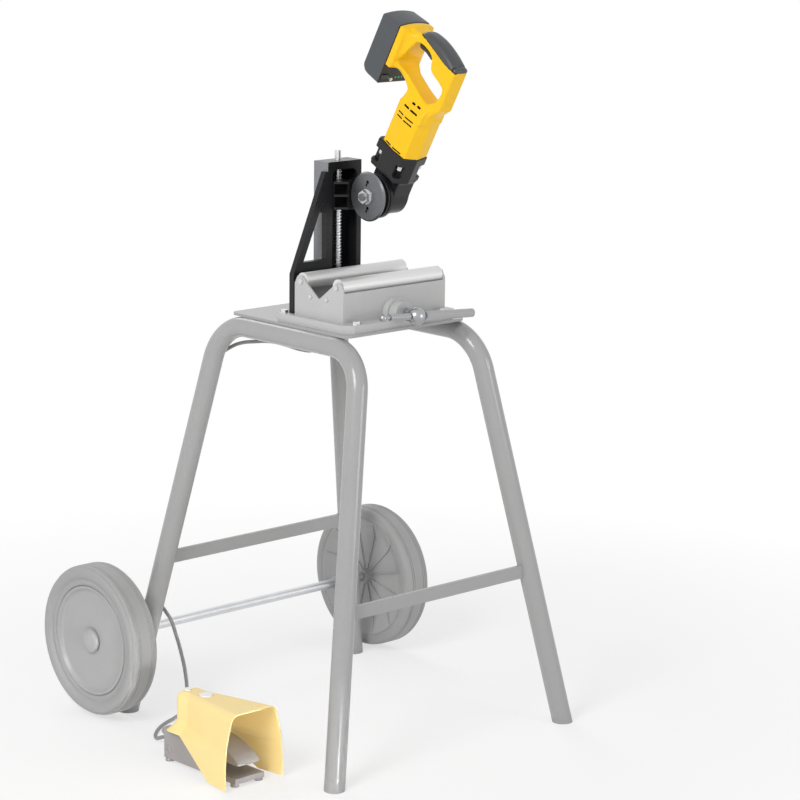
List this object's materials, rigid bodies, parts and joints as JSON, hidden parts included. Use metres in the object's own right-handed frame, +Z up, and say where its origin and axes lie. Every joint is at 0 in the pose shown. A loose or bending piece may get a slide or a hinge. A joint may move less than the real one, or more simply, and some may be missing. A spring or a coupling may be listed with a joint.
{
  "type": "electric pipe cutter",
  "caption": "Cordless electric pipe cutter with leaning drive unit and cutter wheel on a screw-fed carriage, roller bed, wheeled tube stand and foot switch.",
  "frame": {"origin": "on the floor, at the centre of the four feet of the stand", "axes": "+X along the pipe, away from the cutter wheel's nut; +Y away from the operator; +Z up"},
  "size_m": [0.8305, 0.7657, 1.3437],
  "materials": {
    "tube_paint": "satin",
    "bed_paint": "satin",
    "grip_plastic": "matte",
    "rim_plastic": "satin",
    "tyre_rubber": "matte",
    "zinc_steel": "bright",
    "cutter_steel": "ground",
    "black_casting": "painted black",
    "black_alloy": "painted black",
    "bronze": "turned",
    "yellow_shell": "semi-gloss",
    "soft_rubber": "matte",
    "dark_plastic": "matte",
    "motor_steel": "plain",
    "pack_plastic": "grained",
    "cell_can": "wrapped",
    "white_plastic": "smooth",
    "pedal_plastic": "matte",
    "hood_paint": "satin",
    "cable_sheath": "matte"
  },
  "bodies": {
    "stand": {"stand_frame_left": "tube_paint", "stand_frame_right": "tube_paint", "braces": "tube_paint", "foot_caps": "tyre_rubber", "table_plate": "tube_paint", "wheel_axle": "zinc_steel", "hub_caps": "rim_plastic", "bed_plate": "bed_paint", "bed_housing": "bed_paint", "roller_pins": "zinc_steel", "feed_bearing": "bed_paint", "bed_bolts": "zinc_steel", "bed_screws": "zinc_steel", "post_column": "black_casting", "post_gusset": "black_casting", "spindle_bushes": "bronze", "pedal_base": "pedal_plastic", "pedal_hood": "hood_paint", "pedal_pin": "zinc_steel", "foot_cable": "cable_sheath", "cable_glands": "pedal_plastic", "cable_clips": "pedal_plastic"},
    "left_wheel": {"tyre_left": "tyre_rubber", "rim_left": "rim_plastic"},
    "right_wheel": {"tyre_right": "tyre_rubber", "rim_right": "rim_plastic"},
    "front_support": {"front_roller": "zinc_steel"},
    "rear_support": {"rear_roller": "zinc_steel"},
    "feed_lever": {"feed_shaft": "zinc_steel", "feed_bevel": "zinc_steel", "feed_hub": "zinc_steel", "feed_bar": "zinc_steel", "feed_grip": "grip_plastic"},
    "feed_spindle": {"spindle": "zinc_steel", "spindle_bevel": "zinc_steel"},
    "carriage": {"carriage_arm": "black_casting", "spindle_nut": "bronze", "arm_bolts": "zinc_steel", "gear_case": "black_alloy", "bearing_flange": "black_alloy", "output_bearings": "zinc_steel", "case_screws": "zinc_steel", "housing_left": "yellow_shell", "housing_right": "yellow_shell", "soft_grip": "soft_rubber", "trigger_switch": "dark_plastic", "motor_can": "motor_steel", "motor_bearings": "zinc_steel", "housing_screws": "zinc_steel"},
    "cutter": {"output_shaft": "zinc_steel", "crown_gear": "zinc_steel", "cutter_wheel": "cutter_steel", "wheel_nut": "zinc_steel"},
    "rotor": {"armature": "motor_steel"},
    "trigger": {"trigger": "dark_plastic"},
    "battery": {"battery_case": "pack_plastic", "battery_cells": "cell_can"},
    "gauge_key": {"gauge_button": "white_plastic"},
    "latch_key": {"battery_latch": "dark_plastic"},
    "treadle": {"foot_pedal": "pedal_plastic"}
  },
  "joints": [
    {"name": "left_wheel_turn", "type": "hinge", "parent": "stand", "child": "left_wheel", "pos_m": [0, 0.307, 0.152], "axis": [1, 0, 0], "continuous": true},
    {"name": "right_wheel_turn", "type": "hinge", "parent": "stand", "child": "right_wheel", "pos_m": [0, 0.307, 0.152], "axis": [1, 0, 0], "continuous": true},
    {"name": "front_roller_turn", "type": "hinge", "parent": "stand", "child": "front_support", "pos_m": [0, -0.109, 0.855], "axis": [1, 0, 0], "continuous": true},
    {"name": "rear_roller_turn", "type": "hinge", "parent": "stand", "child": "rear_support", "pos_m": [0, -0.013, 0.855], "axis": [1, 0, 0], "continuous": true},
    {"name": "carriage_slide", "type": "slide", "parent": "stand", "child": "carriage", "axis": [0, 0, 1], "range_m": [-0.085, 0.012]},
    {"name": "spindle_turn", "type": "hinge", "parent": "stand", "child": "feed_spindle", "pos_m": [-0.003, 0.0275, 0.95], "axis": [0, 0, 1], "continuous": true},
    {"name": "feed_lever_turn", "type": "hinge", "parent": "stand", "child": "feed_lever", "pos_m": [-0.003, -0.1, 0.801], "axis": [0, 1, 0], "continuous": true},
    {"name": "cutter_turn", "type": "hinge", "parent": "carriage", "child": "cutter", "pos_m": [0, -0.061, 1.00407], "axis": [1, 0, 0], "continuous": true},
    {"name": "rotor_turn", "type": "hinge", "parent": "carriage", "child": "rotor", "pos_m": [0.0355, -0.10948, 1.09153], "axis": [0, -0.4848, 0.8746], "continuous": true},
    {"name": "trigger_squeeze", "type": "slide", "parent": "carriage", "child": "trigger", "axis": [0, -0.4848, 0.8746], "range_m": [0, 0.005], "stiffness_N_per_m": 600, "springref_m": -0.004},
    {"name": "battery_slide", "type": "slide", "parent": "carriage", "child": "battery", "axis": [0, 0.4848, -0.8746], "range_m": [0, 0.09]},
    {"name": "gauge_press", "type": "slide", "parent": "battery", "child": "gauge_key", "axis": [0, 0.8746, 0.4848], "range_m": [0, 0.001], "stiffness_N_per_m": 800, "springref_m": -0.001},
    {"name": "latch_press", "type": "slide", "parent": "battery", "child": "latch_key", "axis": [0, 0.8746, 0.4848], "range_m": [0, 0.0015], "stiffness_N_per_m": 900, "springref_m": -0.001},
    {"name": "treadle_press", "type": "hinge", "parent": "stand", "child": "treadle", "pos_m": [-0.382, -0.062, 0.05], "axis": [1, 0, 0], "range_deg": [0, 9], "stiffness_Nm_per_rad": 3, "springref_deg": -11.46}
  ],
  "couplings": [
    {"joint": "spindle_turn", "follows": "carriage_slide", "rad_per_m": 1047.2},
    {"joint": "feed_lever_turn", "follows": "carriage_slide", "rad_per_m": -1047.2},
    {"joint": "rotor_turn", "follows": "cutter_turn", "ratio": 3.5}
  ]
}
